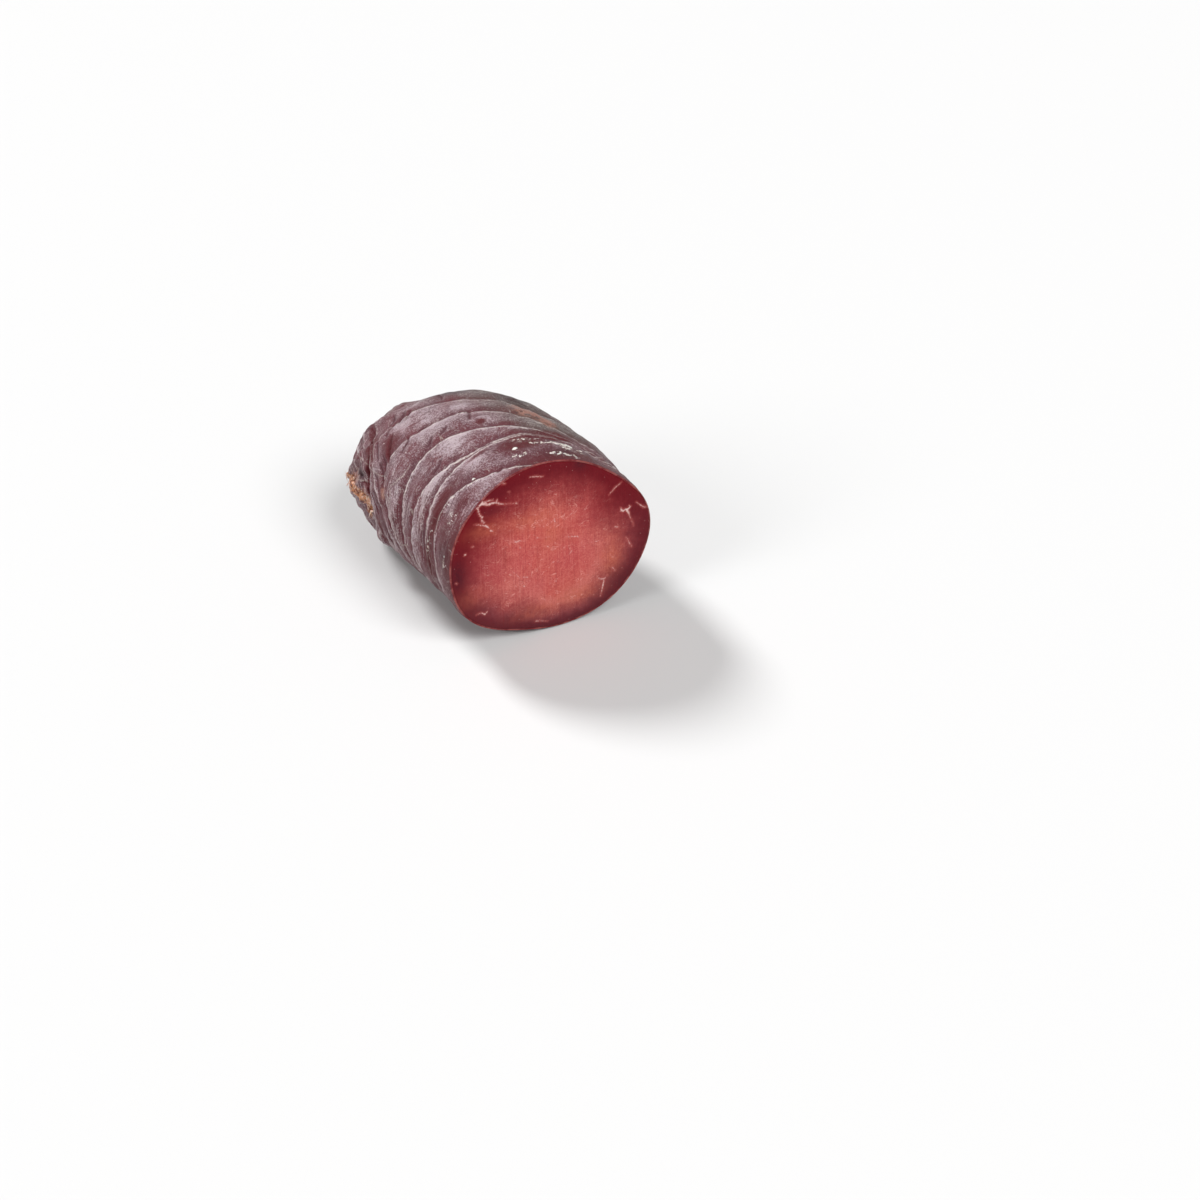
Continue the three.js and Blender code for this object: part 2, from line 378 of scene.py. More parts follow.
# Patches that the casing's material reads, as angle, place, half width round, half length and
# strength, in degrees and millimetres.
SKIN_PATCHES = {
    "wine": [
        (95, 21, 14, 6.5, 1), (104, 16, 6, 5, 0.5), (118, 27, 9, 2, 0.6), (100, 14, 8, 5, 0.45),
        (156, 23.5, 21, 4.5, 1), (60, 5, 22, 6, 0.7), (142, 9, 11, 6, 0.5), (162, 10, 12, 8, 0.5),
        (185, 24.5, 16, 5, 1), (133, 88, 12, 7, 0.7), (154, 106.8, 12, 2.4, 0.6),
        (131, 106, 12, 5, 0.8), (180, 106, 8, 4, 0.3), (112, 114, 10, 6, 0.5), (72, 25, 15, 6, 1),
        (184, 94, 10, 7, 0.7), (100.5, 48.6, 3, 2.2, 0.9), (168, 84, 12, 8, 0.5), (215, 28, 18, 6, 0.8),
        (262, 50, 25, 9, 0.7), (330, 33, 22, 6, 0.8), (300, 80, 18, 9, 0.7), (20, 88, 16, 8, 0.6),
        (240, 106, 16, 8, 0.7),
    ],
    # pale bloom; the patches from 100 to 125 degrees lie along the lit crest and also carry a painted
    # highlight
    "pale": [
        (124, 7, 14, 8, 0.6), (145, 5, 9, 5, 0.35), (100, 47, 9, 7, 0.6), (100, 66, 9, 6, 0.85),
        (102, 95, 10, 6, 0.5), (80, 35, 8, 4, 0.3), (120, 35, 9, 4, 0.75), (120, 55, 9, 4, 0.5),
        (163, 104, 7, 5, 0.4), (140, 55, 9, 6, 0.3), (142, 96, 8, 5, 0.35), (162, 47, 10, 5, 0.35),
        (162, 65, 10, 5, 0.62), (140, 36, 17, 4.5, 0.85), (121, 46, 12, 7, 0.9), (121, 25, 7, 7, 1),
        (118, 71, 13, 9, 1), (121, 88, 10, 6, 0.9), (110, 84, 12, 7, 0.5), (165, 37, 18, 6, 0.5),
        (178, 42, 18, 8, 0.4), (186, 74, 12, 8, 0.55), (202, 87, 12, 8, 0.5), (102, 36, 10, 5, 0.4),
        (110, 62, 16, 6, 0.45), (280, 22, 20, 8, 0.6), (345, 52, 14, 9, 0.5), (230, 62, 14, 10, 0.5),
        (318, 98, 14, 7, 0.6),
    ],
    "slate": [
        (78, 6, 15, 5, 0.8), (60, 6, 11, 7, 0.8), (76, 19, 12, 5, 0.6), (147, 116, 8, 6, 0.9),
        (172, 6, 14, 8, 0.8), (170, 97, 9, 5, 0.4), (62, 66, 13, 9, 0.7), (80, 86, 11, 8, 0.95),
        (95, 119, 12, 5, 0.5), (196, 96, 12, 9, 0.5), (275, 92, 22, 12, 0.6), (352, 14, 20, 9, 0.5),
    ],
    "salt": [
        (78, 15.5, 9, 2.2, 0.7), (70, 12.5, 4.5, 3.5, 0.7), (78, 4.8, 8, 1.6, 0.6), (64, 9, 5, 5, 0.5),
        (152, 9, 6, 5, 0.35), (176, 24, 11, 2.4, 0.45), (93, 22, 8, 2, 0.4),
    ],
    "rust": [
        (70, 51, 8, 8, 1), (66.5, 46, 6, 6, 0.9), (63, 41, 6, 7, 0.9), (162, 83, 5, 4, 0.8),
        (150, 126, 14, 8, 1), (168, 114, 9, 9, 0.9),
    ],
}

# Lumps of the whole casing, as height, size, seed and octaves, and those that only begin
# LATE_START from the cut and are full twice as far from it.
LUMPS = [(0.6, 19, 11, 3), (0.34, 6.5, 21, 2), (0.11, 2.4, 25, 1)]
LATE_LUMPS = (0.75, 11, 27, 2)
LATE_START = 35
# The skin's fine wrinkles along the rings.
WRINKLE_LENGTH, WRINKLE_WIDTH, WRINKLE_HEIGHT = 9, 1.9, 0.55
# Puckers across each ring, and how far they reach from it.
PUCKERS_ROUND, PUCKER_HEIGHT, PUCKER_REACH = 58, 0.22, 2.5
# Where the casing is gathered, as shares of the body's length, and how much that swells its lumps.
GATHER_START, GATHER_LENGTH, GATHER_SWELL = 0.6, 0.3, 1.1
# The folds of the gathered casing, as waves round the body, phase and height.
GATHER_FOLDS = [(13, 0, 1.1), (21, 1, 0.7)]
FOLD_MEAN = 0.6
SKIN_STRETCH_MOST = 5


def skin_patches(patches, place, angle):
    """How deep in any of these patches each place lies, from 0 to 1."""
    found = np.zeros(place.shape)
    for at_angle, at_place, degrees, length, strength in patches:
        depth = strength * near_angle(angle, at_angle, degrees) * hump(place - at_place, length)
        found = np.maximum(found, depth)
    return found


def on_cylinder(place, angle):
    """Places on the body as points on a plain cylinder, where noise joins up all the way round."""
    return np.stack([CUT_MEAN_RADIUS * np.cos(angle), CUT_MEAN_RADIUS * np.sin(angle), place], -1)


def ring_slant(place, angle):
    """How far a step along the body moves away from the nearest ring, from 0 to 1."""
    step = math.radians(2)
    nearest = np.full(place.shape, FAR)
    slant = np.ones(place.shape)
    for row in RING_PLACES:
        gap = np.abs(place - around(row, angle))
        slope = (around(row, angle + step) - around(row, angle - step)) / (2 * step * CUT_MEAN_RADIUS)
        slant = np.where(gap < nearest, 1 / np.hypot(1, slope), slant)
        nearest = np.minimum(nearest, gap)
    return slant


def skin_stretch(place):
    """How far the skin runs for each millimetre along the body, as the body closes at its tail."""
    step = 0.5
    ahead = cap_share(np.minimum(place + step, BODY_LENGTH) / BODY_LENGTH)
    behind = cap_share(np.maximum(place - step, 0) / BODY_LENGTH)
    slope = (ahead - behind) * CUT_MEAN_RADIUS / (2 * step)
    return np.minimum(np.hypot(1, slope), SKIN_STRETCH_MOST)


def surface_lines(lines):
    """Lines over the skin as rows of a point in space and a half width, four for each given one."""
    found = []
    for line in lines:
        steps = len(line) - 1
        degrees, place, half_width = along_rows(line, np.linspace(0, steps, 4 * steps + 1))
        found.append(np.column_stack([body_point(place, np.radians(degrees)), half_width]))
    return found


SLIT_LINES = surface_lines(SLITS)
FOLD_LINES = surface_lines(FOLDS)
HAIR_LINES = surface_lines(PALE_LINES)


def casing_extra(place, angle):
    """The fine relief of the casing, over the body's own surface, and the fields that its material reads."""
    flat = on_cylinder(place, angle)
    low, high, count = band_at(place, angle)
    slant = ring_slant(place, angle) * skin_stretch(place)
    past, before = (place - low) * slant, (high - place) * slant
    near_ring = np.minimum(past, before)

    # each ring's bottom is filled a little, with a lip before it and a dip past it
    rings = 0.5 * hump(near_ring, 1.1) + 0.32 * hump(before - 1.1, 0.9) - 0.12 * hump(past - 0.9, 0.9)
    lumps = sum(height * rough_noise(flat, *lump) for height, *lump in LUMPS)
    height, *late = LATE_LUMPS
    lumps = lumps + height * rough_noise(flat, *late) * smooth_step((place - LATE_START) / LATE_START)

    # wrinkles lie along the rings on the left, the underside and the tail
    gathered = smooth_step((place / BODY_LENGTH - GATHER_START) / GATHER_LENGTH)
    left_side, under_side = near_angle(angle, 184, 38), near_angle(angle, 265, 60)
    wrinkled = np.clip(0.2 + left_side + 0.5 * under_side + 0.3 * gathered, 0, 1)
    wrinkled = wrinkled * smooth_step(0.6 + noise(flat, 14, 31))
    drawn_out = np.concatenate([flat[..., :2] / WRINKLE_LENGTH, past[..., None] / WRINKLE_WIDTH], -1)
    wrinkles = WRINKLE_HEIGHT * rough_noise(drawn_out, 1, 41, 2) * wrinkled * smooth_step(near_ring / 1.5)

    puckers = PUCKER_HEIGHT * np.sin(angle * PUCKERS_ROUND + 2.6 * noise(flat, 13, 51))
    puckers = puckers * smooth_step(0.4 + noise(flat, 17, 52))
    puckers = puckers * (np.exp(-past / PUCKER_REACH) + np.exp(-before / PUCKER_REACH))

    bent = angle + 0.12 * noise(flat, 20, 61) + 0.04 * noise(flat, 7, 62)
    folds = 0
    for waves, phase, height in GATHER_FOLDS:
        folds = folds + height * (np.abs(np.sin(bent * waves + phase)) - FOLD_MEAN)
    relief = lumps * (1 + GATHER_SWELL * gathered) + folds * gathered + rings + wrinkles + puckers
    relief = relief * smooth_step(place / CUT_FADE)

    on_body = body_point(place, angle)
    slit, fold, hair = (line_distance(on_body, lines) for lines in (SLIT_LINES, FOLD_LINES, HAIR_LINES))
    relief = relief - SLIT_DEPTH * (1 - smooth_step((slit + SLIT_INSET) / SLIT_SLOPE))
    relief = relief - FOLD_DEPTH * (1 - smooth_step((fold + FOLD_INSET) / FOLD_SLOPE))

    fields = {name: skin_patches(patches, place, angle) for name, patches in SKIN_PATCHES.items()}
    # the skin is redder along the cut, but not where the bloom lies thick
    fresh = 0.75 * np.exp(-place / 12) * (1 - 0.9 * near_angle(angle, 129, 19))
    fields["wine"] = np.maximum(fields["wine"], fresh)
    # it is greyer along the top right, from some way behind the cut
    top_right = smooth_step((np.cos(angle - math.radians(52)) - 0.66) / 0.34)
    fields["grey"] = top_right * smooth_step((place - 20) / 16)
    fields |= {"slit": slit, "fold": fold, "pale_line": hair, "wrinkled": wrinkled}
    fields |= {"ring_run": count + (place - low) / (high - low), "ring_gap": (high - low) * slant}
    return relief, fields


def skin(place, angle):
    """A point on the finished casing."""
    return body_point(place, angle, casing_extra(place, angle)[0])


def even_places():
    """Places along the body that are evenly far apart over its mean outline."""
    place = np.linspace(0, BODY_LENGTH, 4001)
    radius = CUT_MEAN_RADIUS * cap_share(place / BODY_LENGTH)
    run = np.concatenate([[0], np.cumsum(np.hypot(np.diff(place), np.diff(radius)))])
    return np.interp(np.linspace(0, run[-1], CASING_ALONG + 2)[1:-1], run, place)


# The casing's cut edge, from its outside to the recess that the meat fills: how far in from
# the outline, and how far behind the cut.
CUT_EDGE = [(0.95, 2.3), (0.9, 0.5), (0.74, 0.12), (0.5, 0.0), (0.24, 0.05), (0.04, 0.3)]


def make_casing():
    place, angle = np.meshgrid(even_places(), turns(CASING_ROUND), indexing="ij")
    relief, fields = casing_extra(place, angle)
    body = body_point(place, angle, relief)
    outline = body_point(np.zeros(CASING_ROUND), turns(CASING_ROUND))
    edge = [outline - unit(outline) * inward + (0, behind, 0) for inward, behind in CUT_EDGE]
    recess = [(0, CUT_EDGE[0][1], 0)]
    points = np.concatenate([*edge, body.reshape(-1, 3), recess, tail_tip()])
    faces = fan_faces(len(CUT_EDGE) + CASING_ALONG, CASING_ROUND)

    # the edge reads the fields of the skin beside it
    whole = {}
    for name, values in fields.items():
        at_edge = np.tile(values[0], len(CUT_EDGE))
        whole[name] = np.concatenate([at_edge, values.ravel(), [0], values[-1, :1]])
    whole["lip"] = np.zeros(len(points))
    whole["lip"][: len(CUT_EDGE) * CASING_ROUND] = 1
    piece = make_piece("casing", points, faces, whole)
    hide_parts("bresaola")
    return piece


# ---------------------------------------------------------------- the cut meat

MEAT_STEPS = 292
MEAT_INSET = 0.6
MEAT_DEPTH = 1.9
MEAT_EDGE_ROUNDING = 1.3
# How far the face stands proud of the cut: as a whole, where its edge curls up, and at the fat.
FACE_STAND, CURL_HEIGHT, FAT_HEIGHT = 0.05, 0.1, 0.07
EDGE_DROP = 0.55
# The relief of the face, as height, size in x, y and z or all ways, and seed: the knife's
# scores up and down it, and its grain.
FACE_RELIEF = [(0.035, (0.9, 1, 38), 71), (0.04, (3.2, 1, 60), 72), (0.035, 1.3, 73), (0.12, 11, 74)]

# Marks of fat on the cut, as rows of x and z from its centre and a half width.
FAT_MARKS = [
    # the hook near the upper left, its inner arm, its stem and the branches of that
    [(-38, 33.8, 0.2), (-37, 34.7, 0.45), (-35.3, 35.5, 0.75), (-33.7, 35.2, 0.95), (-32.3, 34.1, 0.65),
     (-30.3, 34.3, 0.6), (-28.2, 34.3, 0.55), (-27, 33.3, 0.55), (-25, 32.5, 0.4), (-23.6, 32, 0.18),
     (-17.9, 30.8, 0.06)],
    [(-35, 36.3, 0.3), (-33.4, 36.3, 0.25), (-31.6, 36.2, 0.45), (-29.7, 35.9, 0.2)],
    [(-27.5, 35.6, 0.25), (-27.8, 34.4, 0.4)],
    [(-37, 34.7, 0.4), (-37.5, 33.3, 0.4), (-37.3, 31.7, 0.4), (-37, 30.3, 0.4), (-36.3, 29.2, 0.42),
     (-35.6, 28.2, 0.5), (-36, 27.3, 0.38), (-35.6, 26, 0.5), (-34.8, 24.9, 0.5)],
    [(-39.6, 25.3, 0.15), (-38, 24.8, 0.3), (-36.2, 24, 0.32), (-34.7, 23.4, 0.38), (-33.3, 22.5, 0.55),
     (-32.2, 21.1, 0.35)],
    [(-31.3, 19.6, 0.35), (-30.2, 18.7, 0.25)],
    [(-37.3, 33.5, 0.3), (-38.4, 33.8, 0.25), (-40.6, 34.4, 0.15)],
    [(-36.7, 38.4, 0.25), (-36.2, 37.2, 0.2)],
    [(-17.9, 30.8, 0.5), (-17.4, 30.5, 0.4)],
    # along the top
    [(-10.3, 43, 0.2), (-7.7, 42.6, 0.4), (-5.6, 41.9, 0.25), (-3.4, 41.3, 0.1)],
    [(-25.1, 43.7, 0.3), (-23.3, 43.1, 0.25)],
    [(2.6, 30, 0.25), (3.6, 29.4, 0.35)],
    [(2.5, 16, 0.25), (2.8, 13.4, 0.15)],
    [(10.6, 15.6, 0.2), (11.8, 16.4, 0.35)],
    # the fork near the right edge
    [(38.4, 11.4, 0.25), (38.8, 10.1, 0.6), (39.7, 9.2, 0.6), (41, 9.8, 0.45), (41.9, 9.2, 0.7)],
    [(43, 11.4, 0.2), (43.4, 10.6, 0.5), (42.3, 9.5, 0.6)],
    [(41.9, 9.4, 0.8), (42.5, 7.8, 0.6), (43.1, 6, 0.28), (44, 3.5, 0.2), (45, 1.3, 0.16),
     (45.6, -1, 0.05)],
    [(46.8, 12.4, 0.1), (48.7, 10.4, 0.2), (50.8, 8.4, 0.4), (52.7, 7.6, 0.3)],
    [(31.9, 20.6, 0.1), (33.8, 22.3, 0.3), (35, 23.7, 0.35), (36.5, 24.6, 0.3), (38.8, 26, 0.08)],
    [(35.3, 1.5, 0.25), (37.2, 0.8, 0.3)],
    [(41.3, -6.5, 0.1), (42.6, -8.6, 0.28), (43.5, -10.8, 0.2), (44.7, -13, 0.12)],
    # the fork at the lower right
    [(26.3, -25.7, 0.25), (27.9, -26.8, 0.4), (29.6, -26.9, 0.42), (30.8, -25.6, 0.25)],
    [(29.3, -27, 0.4), (28.9, -29.3, 0.45), (28.4, -31.8, 0.38), (28, -33.9, 0.28), (27.1, -36.6, 0.08)],
    [(33.9, -21.7, 0.28), (35.5, -24.3, 0.2)],
    # along the bottom
    [(-40.2, -26, 0.1), (-37.6, -25.7, 0.25), (-35.9, -27.2, 0.3), (-34.4, -26, 0.1)],
    [(-8.3, -40, 0.35), (-6.7, -40.4, 0.2), (-2.1, -42.1, 0.08)],
    # specks and hairlines over the middle
    [(-25.1, 7.4, 0.4), (-24.8, 7.4, 0.35)],
    [(-23.4, 12.4, 0), (-20, 9.6, 0.05), (-17.9, 8.7, 0.3), (-16.9, 9.2, 0.25), (-13.2, 8, 0.02)],
    [(-7, 7.8, 0.45), (-6.6, 7.8, 0.4)],
    [(-6.8, 7.8, 0.02), (-2, 6.8, 0.02), (0.2, 6.4, 0.1)],
    [(-17, 6.7, 0.12), (-15.6, 4.5, 0.25)],
    [(8, 3.9, 0.05), (11.5, 3, 0.15), (14.6, 2.4, 0.3), (16.3, -0.5, 0.05)],
    [(21.5, -3.4, 0.02), (24.7, -3.7, 0.25), (27.5, -4, 0.05)],
    [(-9, 22, 0.02), (-7.8, 21.2, 0.2), (-6, 21, 0.02)],
    [(-22.8, 12.2, 0.02), (-20, 10.8, 0.1), (-17.4, 8.9, 0.2)],
    [(-19.5, 3.9, 0.1), (-16, 2.8, 0.12)],
    [(-20.2, -7.4, 0.2), (-18.4, -9.4, 0.12), (-17.1, -11.4, 0.15), (-16.5, -13.4, 0.05)],
    [(-15, -12.2, 0.15), (-12, -13, 0.25)],
    [(-14.6, -16.8, 0.3), (-14.2, -17.8, 0.35)],
    [(-22.2, -23.3, 0.3), (-20.4, -24.7, 0.08)],
    [(9.9, -7, 0.08), (11.9, -4.8, 0.28)],
    [(-45.1, 10, 0.4), (-44.8, 10, 0.35)],
    [(-41, 13.3, 0.35), (-40.7, 13.1, 0.3)],
    [(-50.1, -4.7, 0.3), (-49.9, -4.9, 0.25)],
    [(-21.4, 38.2, 0.25), (-21, 37.9, 0.2)],
    [(-34, 3.6, 0.1), (-32, 2.9, 0.2)],
    [(-1.4, 1.2, 0.3), (-0.9, 1.2, 0.3)],
    [(1.2, -8.6, 0.25), (1.7, -8.5, 0.3)],
]
# How far in from the edge the dry rim turns pale, every 30 degrees from +X towards +Z.
RIM_WIDTHS = (18, 21, 17, 17, 17, 17.5, 20, 16.5, 13.5, 10.5, 10.5, 14)
# How purple that rim is, the rest of it being crimson.
RIM_PURPLE = (0.5, 0.1, 0.15, 0.2, 0.1, 0.05, 0.3, 0.8, 0.9, 1, 1, 0.75)
# Patches of the face, as x, z, half width, half height and strength.
FACE_PATCHES = {
    "warm": [
        (1, 7, 4.5, 8, 1), (-10, 19, 14, 5, 0.9), (-33, 20, 10, 5, 0.8), (33, -15, 6, 10, 1),
        (14, -31, 14, 5, 0.9), (-6, -34, 14, 4, 0.7), (-42, -16, 8, 7, 0.5),
    ],
    "rosy": [
        (-17, -2, 12, 12, 0.85), (-30, -5, 9, 13, 1), (12, -8, 14, 11, 1), (-8, -18, 16, 8, 0.8),
        (18, 12, 10, 10, 0.5),
    ],
    "dark": [
        (-49.5, -1, 4.5, 9, 1), (17, 44, 4.5, 4.5, 1), (-30, 39, 9, 4, 0.3), (-31, -5, 8, 14, 0.17),
        (-31, 30, 8, 3, 0.4), (-42, -23, 9, 6, 0.25), (37, -30, 9, 7, 0.45),
    ],
}


def face_patches(patches, x, z):
    found = np.zeros(x.shape)
    for at_x, at_z, width, height, strength in patches:
        found = np.maximum(found, strength * hump(x - at_x, width) * hump(z - at_z, height))
    return found


def disc_grid(steps):
    """A square grid bent into a disc: how far out each point is, from 0 to 1, and its angle."""
    across, up = np.meshgrid(np.linspace(-1, 1, steps + 1), np.linspace(-1, 1, steps + 1))
    reach = np.maximum(np.abs(across), np.abs(up))
    sideways = np.abs(across) >= np.abs(up)
    turn = np.where(sideways, up, across) / np.maximum(reach, 1 / FAR) * math.pi / 4
    angle = np.where(
        sideways,
        np.where(across >= 0, turn, math.pi - turn),
        np.where(up >= 0, math.pi / 2 - turn, -math.pi / 2 + turn),
    )
    return reach, angle


def make_meat():
    reach, angle = disc_grid(MEAT_STEPS)
    outline = CUT_MEAN_RADIUS + wave_sum(CUT_WAVES, angle) - MEAT_INSET
    x, z = reach * outline * np.cos(angle), reach * outline * np.sin(angle)
    z = np.maximum(z, -FLAT_DEPTH + MEAT_INSET)
    from_edge = (1 - reach) * outline
    fat = line_distance(np.stack([x, z], -1), FAT_MARKS)

    flat = np.stack([x, np.zeros_like(x), z], -1)
    relief = sum(height * noise(flat, size, seed) for height, size, seed in FACE_RELIEF)
    stand = FACE_STAND + CURL_HEIGHT * hump(from_edge - 3.5, 3)
    stand = stand + FAT_HEIGHT * (1 - smooth_step(fat / 0.6 + 0.5))
    rounding = EDGE_DROP * np.clip(1 - from_edge / MEAT_EDGE_ROUNDING, 0, 1) ** 2
    front = np.stack([x, rounding - stand - relief, z], -1).reshape(-1, 3)

    index = np.arange(len(front)).reshape(x.shape)
    corners = (index[:-1, :-1], index[:-1, 1:], index[1:, 1:], index[1:, :-1])
    faces = np.stack([corner.ravel() for corner in corners], -1).tolist()
    rim = np.concatenate([index[0, :-1], index[:-1, -1], index[-1, :0:-1], index[:0:-1, 0]])
    back = front[rim]
    back[:, 1] = MEAT_DEPTH
    points = np.concatenate([front, back, [(0, MEAT_DEPTH, 0)]])
    behind = np.arange(len(front), len(front) + len(rim))
    middle = len(points) - 1
    sides = np.stack([rim, behind, np.roll(behind, -1), np.roll(rim, -1)], -1).tolist()
    faces += sides + [(low, middle, high) for _, low, high, _ in sides]

    def whole(values, at_middle):
        return np.concatenate([values.ravel(), values.ravel()[rim], [at_middle]])

    rim_width = around(RIM_WIDTHS, angle) * (1 + 0.22 * noise(flat, 13, 81) + 0.12 * noise(flat, 5, 82))
    fields = {name: whole(face_patches(patches, x, z), 0) for name, patches in FACE_PATCHES.items()}
    fields["rim_share"] = whole(from_edge / rim_width, 9)
    fields["rim_purple"] = whole(around(RIM_PURPLE, angle), 0)
    fields["from_edge"] = whole(from_edge, CUT_MEAN_RADIUS)
    fields["fat"] = whole(fat, CUT_MEAN_RADIUS)
    piece = make_piece("cut_meat", points, faces, fields)
    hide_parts("bresaola")
    return piece


# ---------------------------------------------------------------- tendon and salt


class Scraps:
    """Many small closed solids, gathered into one mesh."""

    def __init__(self):
        self.points = []
        self.faces = []
        self.tones = []

    def add(self, points, faces, tone):
        first = sum(len(group) for group in self.points)
        self.points.append(points)
        self.faces.extend(tuple(first + corner for corner in face) for face in faces)
        self.tones.append(np.full(len(points), tone))

    def build(self, name):
        points, tones = np.concatenate(self.points), np.concatenate(self.tones)
        return make_piece(name, points, self.faces, {"tone": tones})


def skin_frame(place, angle):
    """A point on the casing, and its directions along, around and out."""
    step = 0.6
    places = np.array([place, place + step, place])
    angles = np.array([angle, angle, angle + step / CUT_MEAN_RADIUS])
    origin, ahead, aside = skin(places, angles)
    along, around_body = unit(ahead - origin), unit(aside - origin)
    out = unit(np.cross(around_body, along))
    if out @ (origin - section_frame(np.array(place / BODY_LENGTH))[0]) < 0:
        out = -out
    return origin, along, around_body, out


BALL_ROWS, BALL_SIDES = 4, 8


def ball_points():
    """A unit ball, as rows of points and then its two poles."""
    tilts = math.pi * np.arange(1, BALL_ROWS + 1) / (BALL_ROWS + 1)
    tilt, turn = np.meshgrid(tilts, turns(BALL_SIDES), indexing="ij")
    rows = np.stack([np.sin(tilt) * np.cos(turn), np.sin(tilt) * np.sin(turn), np.cos(tilt)], -1)
    return np.concatenate([rows.reshape(-1, 3), [(0, 0, 1), (0, 0, -1)]])


def add_blob(scraps, random, place, angle, half_sizes, tone, lift, roughness):
    """A rough flake on the skin. half_sizes are along the body, around it and out from it."""
    origin, along, around_body, out = skin_frame(place, angle)
    ball = ball_points()
    lumpy = 1 + roughness * noise(ball, 0.7, int(random.integers(1, 9999)))[:, None]
    points = ball * lumpy * half_sizes @ np.stack([along, around_body, out])
    points = origin + points + out * half_sizes[2] * lift
    scraps.add(points, fan_faces(BALL_ROWS, BALL_SIDES), tone)


SHARD_STEPS, SHARD_SIDES = 9, 6
# How much of a shard lies behind its root, and how thick it is for its width.
SHARD_ROOT, SHARD_THICKNESS = 0.15, 0.42


def add_shard(scraps, random, place, angle, length, width, heading, lift, tone):
    """A torn, curled strip of dry tendon that starts on the skin."""
    origin, along, around_body, out = skin_frame(place, angle)
    forward = along * math.cos(heading) + around_body * math.sin(heading)
    beside = np.cross(out, forward)
    curl = random.uniform(-0.5, 0.9) * 0.25 * length
    sway = random.uniform(-0.5, 0.5) * 0.3 * length
    points = []
    for share in np.linspace(0, 1, SHARD_STEPS):
        centre = origin + forward * length * (share - SHARD_ROOT)
        centre = centre + out * (lift * math.sin(math.pi * share * 0.8) + curl * share**2)
        centre = centre + beside * sway * math.sin(math.pi * share)
        taper = (1 - share**2.2) * (0.55 + 0.45 * min(1, share * 5)) + 0.06
        turn = turns(SHARD_SIDES) + share * random.uniform(0.5, 1.6)
        radius = width * taper * random.uniform(0.75, 1.25, SHARD_SIDES)
        wide, thick = radius * np.cos(turn), radius * np.sin(turn) * SHARD_THICKNESS
        points.append(centre + beside * wide[:, None] + out * thick[:, None])
    scraps.add(np.concatenate(points), tube_faces(SHARD_STEPS, SHARD_SIDES), tone)


# The tendon crust runs over the left of the tail to its tip: rows of angle, place and half width.
TENDON_RUN = [
    (133, 131.5, 0.6), (143, 128, 1.4), (152, 124.5, 1.8), (159, 121, 2.3), (164, 116, 2.8),
    (169, 112, 2.4), (176, 108, 2), (183, 110, 0.5),
]
TENDON_LAYERS = 5
TENDON_STRANDS = 210
TENDON_CHIPS = 60
CRUST_STEPS, CRUST_SIDES = 64, 14
# Half of the crust's thickness at the least, how much of its half width adds to that, and how
# far it stands off the skin.
CRUST_THINNEST, CRUST_THICKENING, CRUST_LIFT = 0.35, 0.3, 0.25
TIP_MARGIN = 1.5


def tendon_run(at):
    """A place on the tendon's run: its angle, place and half width, at a number of steps along it."""
    degrees, place, half_width = along_rows(TENDON_RUN, at)
    return np.radians(degrees), place, half_width


def add_crust_layer(scraps, random, first, last, offset, scale, tone):
    """A rough fibrous ribbon of tendon that lies on the skin along a stretch of the run."""
    angle, place, half_width = tendon_run(np.linspace(first, last, CRUST_STEPS))
    run = skin(np.minimum(place, BODY_LENGTH - 1), angle)
    along = unit(np.gradient(run, axis=0))
    out = run - section_frame(place / BODY_LENGTH)[0] + (0, 12, 0)
    out = unit(out - (out * along).sum(-1, keepdims=True) * along)
    beside = np.cross(along, out)

    # its ends taper off, and it is frayed all round
    step, turn = np.meshgrid(np.linspace(-1, 1, CRUST_STEPS), turns(CRUST_SIDES), indexing="ij")
    ends = np.sqrt(np.clip(1 - np.abs(step) ** 3, 0.002, 1))
    sample = np.stack([7 * (step + 1), 2.4 * np.cos(turn), 2.4 * np.sin(turn)], -1)
    seed = int(random.integers(1, 9999))
    frayed = 1 + 0.55 * rough_noise(sample, (1.6, 1, 1), seed, 2)
    frayed = frayed + 0.35 * noise(sample, (0.7, 0.6, 0.6), seed + 9)
    half_width = half_width[:, None] * scale
    wide = half_width * ends * frayed * np.cos(turn) + offset
    thick = (CRUST_THINNEST + CRUST_THICKENING * half_width) * ends * frayed * np.sin(turn) + CRUST_LIFT
    points = run[:, None] + beside[:, None] * wide[..., None] + out[:, None] * thick[..., None]
    scraps.add(points.reshape(-1, 3), tube_faces(CRUST_STEPS, CRUST_SIDES), tone)


def by_tendon(random, stray_round, stray_along):
    """A random place and angle by the tendon's run. The strays are shares of its half width."""
    angle, place, half_width = tendon_run(random.uniform(0, len(TENDON_RUN) - 1))
    angle += random.normal(0, stray_round) * half_width / CUT_MEAN_RADIUS
    return min(place + random.normal(0, stray_along) * half_width, BODY_LENGTH - TIP_MARGIN), angle


